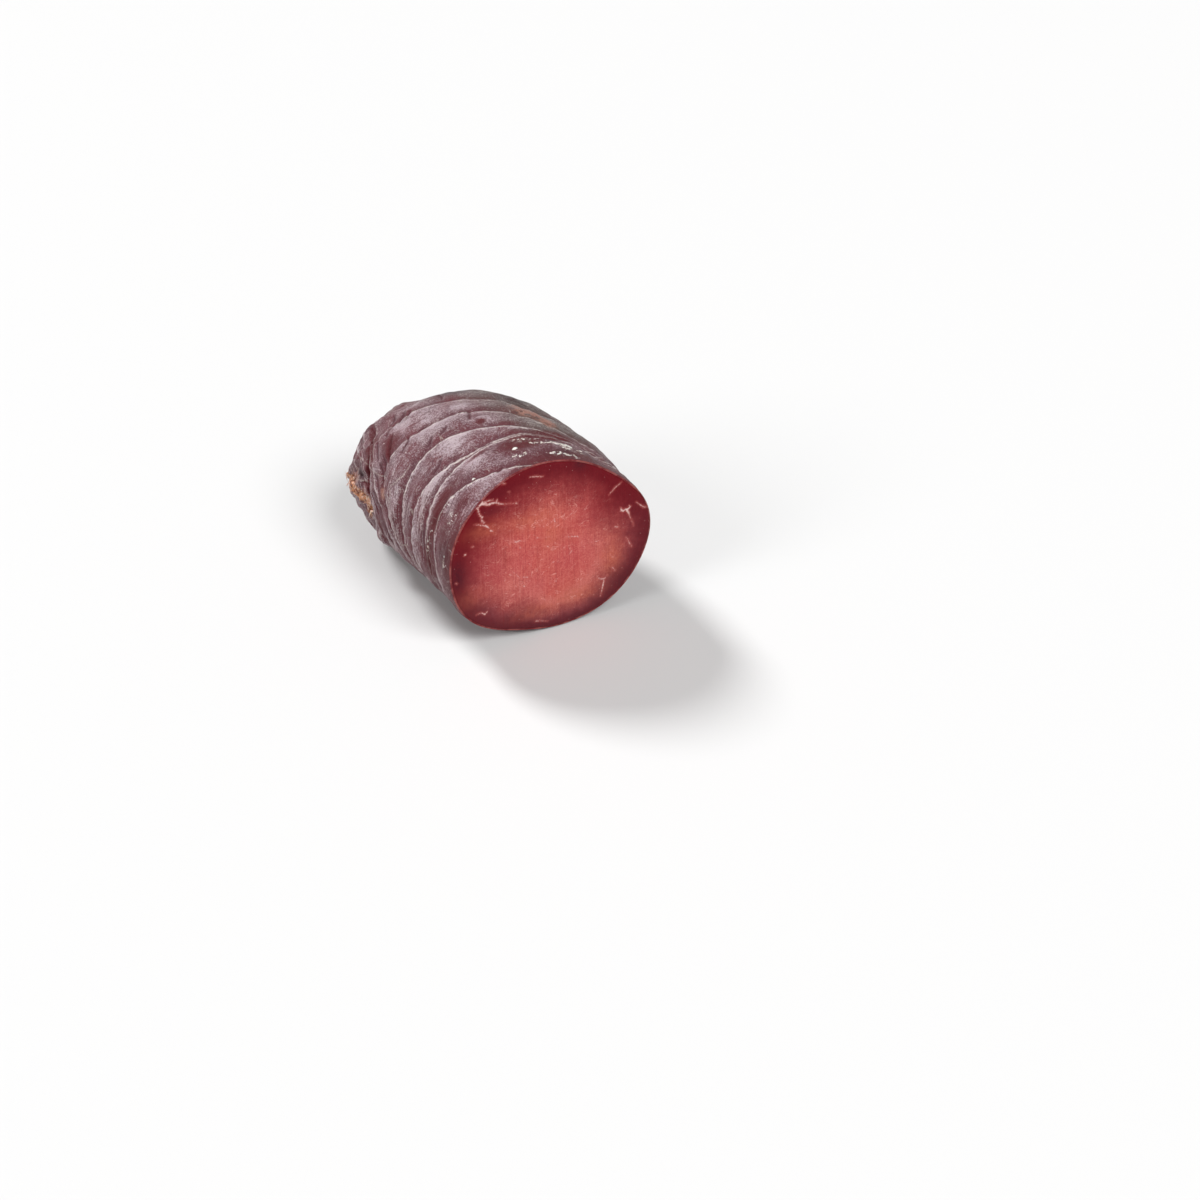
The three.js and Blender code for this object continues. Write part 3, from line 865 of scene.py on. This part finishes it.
def make_tendon():
    random = np.random.default_rng(7)
    scraps = Scraps()
    last = len(TENDON_RUN) - 1
    add_crust_layer(scraps, random, 0, last, 0, 1, 0.1)
    for _ in range(TENDON_LAYERS):
        start = random.uniform(0, last - 2)
        offset = random.normal(0, 0.9)
        end, tone = start + random.uniform(1.2, 2.4), random.uniform(0.3, 0.9)
        add_crust_layer(scraps, random, start, end, offset, 0.5, tone)
    for _ in range(TENDON_STRANDS):
        place, angle = by_tendon(random, 0.55, 0.5)
        heading = math.pi / 2 + random.normal(0, 0.7) + math.pi * random.integers(0, 2)
        length, width = random.uniform(1.5, 6), random.uniform(0.12, 0.42)
        lift, tone = random.uniform(0.5, 1.6), random.uniform(0, 1)
        add_shard(scraps, random, place, angle, length, width, heading, lift, tone)
    for _ in range(TENDON_CHIPS):
        place, angle = by_tendon(random, 0.7, 0.6)
        size = random.uniform(0.3, 1)
        half_sizes = (size * random.uniform(0.6, 1.6), size * random.uniform(0.6, 1.6), size * 0.5)
        add_blob(scraps, random, place, angle, half_sizes, random.uniform(0, 1), 0.9, 0.9)
    return scraps.build("dried_tendon")


# Single flecks of salt, as angle, place and half sizes along and around the body.
SALT_FLECKS = [
    (100.6, 16.8, 1.2, 2.3), (101.8, 10, 1.2, 0.8), (128.3, 14.9, 0.8, 1), (68.6, 13.4, 1.5, 1.6),
    (71.5, 14.3, 1, 2.2), (70.8, 10.6, 1.1, 1.2), (75.2, 14.9, 0.8, 1.8), (80.2, 15.7, 0.6, 1.6),
    (84.6, 16.6, 0.6, 1.2), (89.6, 18.3, 0.9, 0.4), (85, 6.1, 0.8, 1.1), (80.8, 4.9, 0.6, 1.3),
    (75, 4.1, 0.5, 1.8), (70.5, 2.4, 0.5, 1.1), (147.3, 18.2, 1.1, 0.35), (150.2, 10.4, 0.8, 0.3),
    (148.5, 8.6, 0.7, 0.3), (152, 8.9, 0.6, 0.3), (137, 70, 0.4, 0.3), (132, 93.2, 0.5, 0.25),
    (159, 65, 0.5, 0.3), (186, 51, 0.5, 0.3),
]
FLAKES_IN_FLECK = 5
FLAKE_THICKNESS = 0.14
# Runs of crumbs: how many, how far they stray, and the places they lie along.
SALT_RUNS = [
    (60, 1.2, [(90, 18), (85.5, 16.8), (80, 15.8), (75, 14.8), (68, 13.2)]),
    (34, 0.8, [(76, 15), (72, 14.2), (68, 13.2)]),
    (34, 1.7, [(73, 12.5), (70, 9)]),
    (34, 0.9, [(87, 6.5), (81, 4.9), (75, 4.1), (69, 2.2)]),
    (14, 2.5, [(66, 11), (61, 8)]),
    (12, 1.2, [(104, 11), (98, 9)]),
    (24, 0.8, [(100, 24), (92, 22.5), (84, 20.5)]),
    (16, 1.3, [(154, 9), (149, 12)]),
    (20, 1.0, [(162, 22.5), (172, 23.5), (184, 25.5)]),
    (14, 1.5, [(176, 4), (171, 8)]),
]
SALT_LIFT, SALT_ROUGHNESS = 0.4, 0.6


def make_salt():
    random = np.random.default_rng(19)
    scraps = Scraps()
    for degrees, place, length, width in SALT_FLECKS:
        for _ in range(FLAKES_IN_FLECK):
            spread_place = place + random.uniform(-0.5, 0.5) * length
            spread_angle = math.radians(degrees) + random.uniform(-0.5, 0.5) * width / CUT_MEAN_RADIUS
            flake_length, flake_width = length * random.uniform(0.25, 0.6), width * random.uniform(0.25, 0.6)
            tone = random.uniform(0.5, 1)
            half_sizes = (flake_length, flake_width, FLAKE_THICKNESS)
            add_blob(scraps, random, spread_place, spread_angle, half_sizes, tone, SALT_LIFT, SALT_ROUGHNESS)
    for crumbs, stray, run in SALT_RUNS:
        for _ in range(crumbs):
            degrees, place = along_rows(run, random.uniform(0, len(run) - 1))
            angle = math.radians(degrees) + random.normal(0, stray) / CUT_MEAN_RADIUS
            place = abs(place + random.normal(0, 0.7 * stray)) + 0.8
            size = 0.14 + 0.42 * random.random() ** 3
            half_sizes = (size * random.uniform(0.6, 1.2), size * random.uniform(0.8, 1.9), size * 0.35)
            tone = random.uniform(0, 1)
            add_blob(scraps, random, place, angle, half_sizes, tone, SALT_LIFT, SALT_ROUGHNESS)
    return scraps.build("salt_bloom")


# ---------------------------------------------------------------- materials


class Value:
    """A number or a tone that a material works out, open to arithmetic."""

    def __init__(self, shader, socket):
        self.shader = shader
        self.socket = socket

    def __add__(self, other):
        return self.shader.math("ADD", self, other)

    def __sub__(self, other):
        return self.shader.math("SUBTRACT", self, other)

    def __rsub__(self, other):
        return self.shader.math("SUBTRACT", other, self)

    def __mul__(self, other):
        return self.shader.math("MULTIPLY", self, other)

    def __abs__(self):
        return self.shader.math("ABSOLUTE", self)

    def step(self, low, high, at_low=0, at_high=1):
        """A smooth step between two values, as this one goes from low to high."""
        inputs = {"Value": self, "From Min": low, "From Max": high, "To Min": at_low, "To Max": at_high}
        return self.shader.node("MapRange", "Result", inputs, interpolation_type="SMOOTHSTEP")


class Shader:
    """A material built by short calls. Sizes are in millimetres, and tones are linear red, green and blue."""

    def __init__(self, name):
        self.material = bpy.data.materials.new(name)
        self.material.use_nodes = True
        self.nodes = self.material.node_tree.nodes
        self.links = self.material.node_tree.links
        self.place = self.node("TexCoord", "Object", {})
        self.tone = None

    def feed(self, socket, value):
        if isinstance(value, Value):
            self.links.new(value.socket, socket)
        elif socket.type == "RGBA":
            socket.default_value = (*value, 1)
        else:
            socket.default_value = value

    def node(self, kind, output, inputs, **settings):
        """An output of a new node, with its inputs by name or number."""
        made = self.nodes.new("ShaderNode" + kind)
        for name, setting in settings.items():
            setattr(made, name, setting)
        for name, value in inputs.items():
            self.feed(made.inputs[name], value)
        return Value(self, made.outputs[output])

    def field(self, name):
        return self.node("Attribute", "Fac", {}, attribute_name=name)

    def math(self, operation, *values):
        return self.node("Math", "Value", dict(enumerate(values)), operation=operation)

    def noise_at(self, place, scale, detail, roughness, swirl=0):
        inputs = {"Vector": place, "Scale": scale, "Detail": detail, "Roughness": roughness}
        return self.node("TexNoise", "Fac", {**inputs, "Distortion": swirl})

    def noise(self, size, detail=2, roughness=0.5, stretch=None, swirl=0):
        """Noise about 0.5, with lumps of this size, drawn out by stretch along each axis."""
        place = self.place
        if stretch:
            place = self.node("VectorMath", "Vector", {0: place, 1: stretch}, operation="DIVIDE")
        return self.noise_at(place, 1 / (size * MM), detail, roughness, swirl)

    def threads(self, size, width, gap_size, stretch=None, swirl=1.2):
        """Thin curved lines in patches: size is how far they bend, gap_size how far apart the patches lie."""
        ridge = abs(self.noise(size, 3, 0.6, stretch, swirl) - 0.5)
        return ridge.step(width, 0.2 * width) * self.noise(gap_size).step(0.46, 0.6)

    def along_rings(self, past, length, width):
        """Noise about 0.5 that is drawn out along the rings, from the distance past one."""
        x, z = (self.node("SeparateXYZ", axis, {0: self.place}) * (1 / (length * MM)) for axis in "XZ")
        place = self.node("CombineXYZ", 0, {"X": x, "Y": past * (1 / width), "Z": z})
        return self.noise_at(place, 1, 3, 0.6)

    def specks(self, size, most):
        """A round speck in each cell of this size: 1 at its middle, and 0 past most."""
        cells = self.node("TexVoronoi", "Distance", {"Vector": self.place, "Scale": 1 / (size * MM)})
        return cells.step(most, 0)

    def ramp(self, value, stops):
        """A run of tones over a value from 0 to 1."""
        found = self.node("ValToRGB", "Color", {"Fac": value})
        found.socket.node.color_ramp.interpolation = "CARDINAL"
        points = found.socket.node.color_ramp.elements
        while len(points) < len(stops):
            points.new(0.5)
        for point, (at, tone) in zip(points, stops):
            point.position = at
            point.color = (*tone, 1)
        return found

    def blend(self, factor, first, second):
        return self.node("Mix", 2, {0: factor, 6: first, 7: second}, data_type="RGBA")

    def paint(self, factor, tone):
        """Lays a tone over the tone so far, as thickly as the factor says."""
        self.tone = self.blend(factor, self.tone, tone)

    def finish(self, height, depth, **surface):
        """The material, with fine relief whose height runs from 0 to 1 over depth millimetres."""
        normal = self.node("Bump", "Normal", {"Strength": 1, "Distance": depth * MM, "Height": height})
        for name, value in {"Base_Color": self.tone, "Normal": normal, **surface}.items():
            self.feed(self.nodes["Principled BSDF"].inputs[name.replace("_", " ")], value)
        return self.material


def casing_material():
    shader = Shader("casing")
    wobble = shader.noise(2.6, 3) * 1.2 - 0.6
    ring_run, gap = shader.field("ring_run"), shader.field("ring_gap")
    part = shader.math("FRACT", ring_run)
    past = part * gap + wobble
    before = (1 - part) * gap + wobble
    wrinkled, wine, slate = shader.field("wrinkled"), shader.field("wine"), shader.field("slate")

    broad = shader.noise(15, 3)
    patchy = shader.noise(5, 4, 0.6)
    grain = shader.noise(0.8, 5, 0.8)
    fine = shader.noise(0.42, 3, 0.75)
    streaky = shader.noise(2.2, 4, 0.65, stretch=(1, 2.6, 1))

    # the bare skin: wine red, with greyer and darker stretches
    shader.tone = shader.blend(broad.step(0.35, 0.65), (0.125, 0.024, 0.033), (0.105, 0.032, 0.042))
    grey = shader.field("grey") * broad.step(0.25, 0.6, 0.55, 0.95)
    shader.paint(grey, shader.blend(patchy, (0.058, 0.036, 0.029), (0.105, 0.074, 0.062)))
    shader.paint(slate * 0.85, (0.04, 0.02, 0.027))
    deep = wine * patchy.step(0.2, 0.7, 0.75, 1)
    shader.paint(deep.step(0.1, 0.7, 0, 0.95), (0.098, 0.012, 0.016))

    # how much of it the pale bloom covers; past each ring the cover is cut back as painted shade, on the side
    # of each band that faces away from the light
    painted_band_shade = past.step(7, 0.4) * patchy.step(0.25, 0.65, 0.55, 0.9)
    frost = before.step(4, 0.4) * streaky.step(0.42, 0.66, 0.1, 0.36)
    ripples = shader.along_rings(past, WRINKLE_LENGTH, 0.8 * WRINKLE_WIDTH)
    strands = shader.along_rings(past, 1.6 * WRINKLE_LENGTH, 0.5 * WRINKLE_WIDTH)
    lines = (ripples.step(0.36, 0.64, -0.16, 0.28) + strands.step(0.38, 0.62, -0.26, 0.26)) * wrinkled
    cover_and_painted_light = broad.step(0.3, 0.7, 0.3, 0.46) + patchy.step(0.35, 0.68, -0.04, 0.07)
    cover_and_painted_light = (cover_and_painted_light + frost + lines + shader.field("pale") * 0.46) * (1 - painted_band_shade * 0.74)
    cover_and_painted_light = cover_and_painted_light * wine.step(0.1, 0.8, 1, 0.06) * slate.step(0, 1, 1, 0.45)
    shader.paint(cover_and_painted_light.step(0.25, 0.9, 0, 0.5), (0.215, 0.14, 0.158))
    # the bloom's tone is palest where the cover is thickest, which along the crest is a painted highlight as
    # well as bloom
    bloom_and_highlight = shader.blend(cover_and_painted_light.step(0.35, 0.95), (0.36, 0.268, 0.292), (0.48, 0.385, 0.415))
    bloom_and_highlight = shader.blend(shader.field("grey"), bloom_and_highlight, (0.33, 0.295, 0.272))
    bloom_and_highlight = shader.blend(wrinkled.step(0.3, 0.9, 0, 0.6), bloom_and_highlight, (0.465, 0.362, 0.352))
    bloom_and_highlight = shader.blend(wine.step(0, 0.5, 0, 0.8), bloom_and_highlight, (0.35, 0.198, 0.226))
    shader.paint((grain + cover_and_painted_light * 0.3 - 0.17).step(0.45, 0.55), bloom_and_highlight)

    # the pale rings and hairs, with a painted shadow line just past each ring
    broken = shader.noise(2.4, 5, 0.7).step(0.4, 0.52, 0.2, 1) * grain.step(0.4, 0.53, 0.1, 1)
    ring = abs(before - 0.7).step(0.75, 0.3) * broken
    ring = ring * wine.step(0.2, 1, 1, 0.45) * broad.step(0.4, 0.56, 0.6, 1)
    ring = ring * ring_run.step(5.6, 7.4, 1, 0.45) * wrinkled.step(0.3, 0.9, 1, 0.6)
    # painted shadow just past each ring
    shader.paint(past.step(1.1, 0.2) * 0.4, (0.07, 0.016, 0.022))
    shader.paint(ring, (0.7, 0.635, 0.595))
    hair = (shader.field("pale_line") + wobble * 0.6).step(0.3, -0.15)
    shader.paint(hair * grain.step(0.38, 0.6, 0.1, 0.7), (0.5, 0.43, 0.38))

    # dark threads: painted shade in fine creases of the skin
    crease_shade = shader.threads(8, 0.022, 7, stretch=(1, 0.7, 1.6), swirl=0.6)
    shader.paint(crease_shade * 0.6, (0.075, 0.018, 0.026))
    scratch = shader.threads(11, 0.012, 5, swirl=1.6) * grain.step(0.38, 0.58, 0.3, 1)
    shader.paint(scratch * 0.55, (0.56, 0.49, 0.47))

    rust = shader.field("rust") * shader.noise(3, 4, 0.6).step(0.3, 0.52)
    rust_tone = shader.blend(grain.step(0.4, 0.6), (0.26, 0.095, 0.066), (0.44, 0.225, 0.17))
    shader.paint(rust.step(0.15, 0.75, 0, 0.8), rust_tone)
    powder = shader.field("salt") * shader.noise(1, 5, 0.75, stretch=(1.9, 1, 1)).step(0.5, 0.64)
    shader.paint(powder.step(0.05, 0.6, 0, 0.85), (0.64, 0.59, 0.55))
    # pale specks where the bloom lies: painted glints of light
    speck = fine.step(0.58, 0.7) * (cover_and_painted_light * patchy).step(0.02, 0.35, 0.1, 0.95)
    shader.paint(speck, (0.6, 0.53, 0.53))
    shader.paint(fine.step(0.42, 0.3) * 0.6, (0.045, 0.012, 0.016))

    fold, slit = shader.field("fold"), shader.field("slit")
    # painted shade in the folds that run across the bands
    shader.paint((fold + wobble * 0.4).step(1.3, -0.2, 0, 0.88), (0.08, 0.016, 0.024))
    shader.paint((slit + wobble * 0.6).step(1.3, 0, 0, 0.75), (0.105, 0.01, 0.016))
    shader.paint((slit + wobble * 0.35).step(0.3, -0.2), (0.075, 0.002, 0.006))
    lip_tone = shader.blend(patchy.step(0.42, 0.6), (0.18, 0.014, 0.018), (0.36, 0.09, 0.08))
    shader.paint(shader.field("lip") * 0.85, lip_tone)

    height = grain * 0.9 + fine * 0.5 + patchy * 0.8 + ripples * wrinkled * 0.9
    return shader.finish(height, 0.62, Roughness=grain.step(0.3, 0.7, 0.34, 0.5), Specular_IOR_Level=0.2)


# The face's tones from its edge inwards, over REACH of the rim's widths: its crimson side and
# its purple side.
REACH = 2.4
CRIMSON_TONES = [
    (0, (0.135, 0.003, 0.008)),
    (0.15, (0.15, 0.006, 0.011)),
    (0.3, (0.22, 0.018, 0.022)),
    (0.42, (0.29, 0.036, 0.037)),
    (0.65, (0.42, 0.068, 0.059)),
    (1, (0.5, 0.09, 0.074)),
]
PURPLE_TONES = [
    (0, (0.1, 0.015, 0.021)),
    (0.15, (0.13, 0.024, 0.031)),
    (0.3, (0.215, 0.046, 0.051)),
    (0.42, (0.3, 0.064, 0.062)),
    (0.65, (0.49, 0.122, 0.106)),
    (0.8, (0.52, 0.13, 0.112)),
    (1, (0.5, 0.095, 0.08)),
]


def meat_material():
    shader = Shader("cut_meat")
    fleshy = shader.noise(3.2, 4, 0.6)
    broad = shader.noise(11, 3)
    grain = shader.noise(1.5, 4, 0.65, swirl=1.6)
    knife = shader.noise(0.5, stretch=(1, 1, 34))
    fibre = shader.noise(1.3, 4, 0.7, stretch=(1.6, 1, 0.8), swirl=1.2)
    share = shader.field("rim_share") + (fleshy * 0.55 - 0.275)
    inner = share.step(0.3, 1.7)

    reach = share * (1 / REACH)
    rims = [shader.ramp(reach, tones) for tones in (CRIMSON_TONES, PURPLE_TONES)]
    shader.tone = shader.blend(shader.field("rim_purple"), *rims)
    warm = shader.field("warm") * fleshy.step(0.25, 0.7, 0.35, 0.85)
    shader.paint(warm * 0.75, (0.5, 0.124, 0.072))
    rosy = shader.field("rosy") * broad.step(0.25, 0.6, 0.4, 0.9)
    shader.paint(rosy * 0.75, (0.46, 0.068, 0.074))
    shader.paint(shader.field("dark") * fleshy.step(0.25, 0.65, 0.5, 0.9), (0.06, 0.008, 0.014))

    # the grain of the meat, and the knife's scores up and down it
    shader.paint(grain.step(0.46, 0.66) * inner * 0.36, (0.64, 0.21, 0.17))
    shader.paint(grain.step(0.48, 0.3) * 0.34, (0.2, 0.016, 0.02))
    shader.paint(knife.step(0.52, 0.7) * 0.22, (0.18, 0.016, 0.02))
    shader.paint(knife.step(0.45, 0.28) * inner * 0.2, (0.66, 0.25, 0.21))

    # fine threads and specks of fat
    thread = shader.threads(9, 0.01, 6, stretch=(1.3, 1, 0.8), swirl=0.9)
    shader.paint(thread * inner * 0.5, (0.78, 0.4, 0.35))
    shader.paint(fibre.step(0.58, 0.72) * inner * 0.2, (0.78, 0.38, 0.33))
    speck = shader.specks(2.3, 0.13) * shader.noise(4).step(0.47, 0.6)
    shader.paint(speck * 0.55, (0.8, 0.44, 0.4))

    # the marks of fat, with ragged edges, and the thin line of skin round the cut
    ragged = shader.noise(1, 4, 0.7) * 2.2 - 1.1
    distance = shader.field("fat") + ragged
    fat = distance.step(0.05, -0.4, 0, 0.9)
    shader.paint(distance.step(1, 0, 0, 0.3), (0.52, 0.13, 0.115))
    shader.paint(fat, shader.blend(fleshy.step(0.4, 0.65), (0.6, 0.32, 0.3), (0.72, 0.51, 0.48)))
    skin_line = (shader.field("from_edge") + ragged * 0.5).step(0.6, -0.1, 0, 0.4)
    shader.paint(skin_line, (0.3, 0.06, 0.055))

    height = grain * 0.5 + knife * 0.3 + fibre * 0.3 + fat * 0.3
    return shader.finish(
        height,
        0.18,
        Roughness=fleshy.step(0.3, 0.7, 0.42, 0.58),
        Specular_IOR_Level=0.07,
        Subsurface_Weight=0.06,
        Subsurface_Scale=0.001,
        Subsurface_Radius=(1, 0.35, 0.25),
    )


# The tendon's tones, from its dark roots to cream.
TENDON_TONES = [
    (0, (0.09, 0.032, 0.026)),
    (0.22, (0.27, 0.088, 0.038)),
    (0.4, (0.5, 0.215, 0.095)),
    (0.58, (0.6, 0.35, 0.27)),
    (0.78, (0.82, 0.64, 0.52)),
]


def tendon_material():
    shader = Shader("dried_tendon")
    streak = shader.noise(0.9, 4, 0.65)
    mixed = shader.field("tone") * 0.45 + streak * 0.5 + shader.noise(3.2, 3, 0.6) * 2.1 - 0.98
    shader.tone = shader.ramp(mixed, TENDON_TONES)
    return shader.finish(
        streak + shader.noise(0.3, 3) * 0.5,
        0.2,
        Roughness=streak.step(0.3, 0.7, 0.38, 0.6),
        Specular_IOR_Level=0.45,
        Subsurface_Weight=0.08,
        Subsurface_Scale=0.001,
    )


def salt_material():
    shader = Shader("salt_bloom")
    mixed = shader.field("tone") * 0.6 + shader.noise(0.7, 3) * 0.5
    shader.tone = shader.blend(mixed.step(0.3, 0.8), (0.52, 0.44, 0.4), (0.78, 0.74, 0.69))
    return shader.finish(
        shader.noise(0.25, 3, 0.6),
        0.12,
        Roughness=0.7,
        Specular_IOR_Level=0.3,
        Subsurface_Weight=0.1,
        Subsurface_Scale=0.0008,
    )


# ---------------------------------------------------------------- camera, light and floor

# The camera's direction, and where it sees the cut's centre: right, up and ahead of it.
VIEW_AZIMUTH, VIEW_ELEVATION = -28, 34.5
CUT_CENTRE_SEEN = Vector((-23.9, 25.0, 1201.0))
LENS, SENSOR = 75, 36


def direction(azimuth, elevation):
    """From the object towards a viewer. Azimuth 0 is in front of the cut face."""
    turn, tilt = math.radians(azimuth), math.radians(elevation)
    return Vector((math.sin(turn) * math.cos(tilt), -math.cos(turn) * math.cos(tilt), math.sin(tilt)))


def looking_along(back):
    """The axes of a camera or light that looks against back, level with the floor."""
    right = Vector((0, 0, 1)).cross(back).normalized()
    return right, back.cross(right), back


def place_object(thing, place, axes):
    thing.matrix_world = Matrix.Translation(place) @ Matrix(axes).transposed().to_4x4()
    bpy.context.scene.collection.objects.link(thing)


def make_camera():
    data = bpy.data.cameras.new("camera")
    data.lens, data.sensor_width = LENS, SENSOR
    camera = bpy.data.objects.new("camera", data)
    axes = looking_along(direction(VIEW_AZIMUTH, VIEW_ELEVATION))
    right, up, back = axes
    seen = right * CUT_CENTRE_SEEN.x + up * CUT_CENTRE_SEEN.y - back * CUT_CENTRE_SEEN.z
    place_object(camera, (Vector(CUT_CENTRE) - seen) * MM, axes)
    bpy.context.scene.camera = camera


# Large far softboxes, as azimuth, elevation, width seen from the body and strength.
SOFTBOXES = {
    "back_light": (199, 42, 15, 2.9),
    "front_light": (12, 45, 30, 2.35),
    "left_light": (-80, 30, 26, 1.1),
}
SKY_LIGHT = 0.2
BACKGROUND = 1.0
SKY_TONE = (1, 0.99, 0.98, 1)
BACKGROUND_TONE = (1, 1, 1, 1)
# The floor is a square, in metres.
FLOOR_HALF_SIZE = 6
FLOOR_TONE = (0.65, 0.65, 0.65, 1)


def make_lights():
    for name, (azimuth, elevation, width, strength) in SOFTBOXES.items():
        data = bpy.data.lights.new(name, "SUN")
        data.angle, data.energy = math.radians(width), strength
        back = direction(azimuth, elevation)
        place_object(bpy.data.objects.new(name, data), back, looking_along(back))
    world = bpy.data.worlds.new("studio")
    world.use_nodes = True
    nodes, links = world.node_tree.nodes, world.node_tree.links
    light = nodes["Background"]
    backdrop = nodes.new("ShaderNodeBackground")
    mix = nodes.new("ShaderNodeMixShader")
    links.new(nodes.new("ShaderNodeLightPath").outputs["Is Camera Ray"], mix.inputs[0])
    kinds = [(light, SKY_TONE, SKY_LIGHT, 1), (backdrop, BACKGROUND_TONE, BACKGROUND, 2)]
    for node, tone, strength, socket in kinds:
        node.inputs["Color"].default_value = tone
        node.inputs["Strength"].default_value = strength
        links.new(node.outputs[0], mix.inputs[socket])
    links.new(mix.outputs[0], nodes["World Output"].inputs["Surface"])
    bpy.context.scene.world = world
    bpy.context.scene.view_settings.view_transform = "Standard"


def make_floor():
    mesh = bpy.data.meshes.new("floor")
    half = FLOOR_HALF_SIZE
    corners = [(-half, -half, 0), (half, -half, 0), (half, half, 0), (-half, half, 0)]
    mesh.from_pydata(corners, [], [(0, 1, 2, 3)])
    floor = bpy.data.objects.new("floor", mesh)
    bpy.context.scene.collection.objects.link(floor)
    material = bpy.data.materials.new("floor")
    material.use_nodes = True
    surface = material.node_tree.nodes["Principled BSDF"]
    surface.inputs["Base Color"].default_value = FLOOR_TONE
    surface.inputs["Roughness"].default_value = 0.8
    surface.inputs["Specular IOR Level"].default_value = 0.1
    mesh.materials.append(material)


make_camera()
make_lights()
make_floor()
make_casing().data.materials.append(casing_material())
make_meat().data.materials.append(meat_material())
make_tendon().data.materials.append(tendon_material())
make_salt().data.materials.append(salt_material())
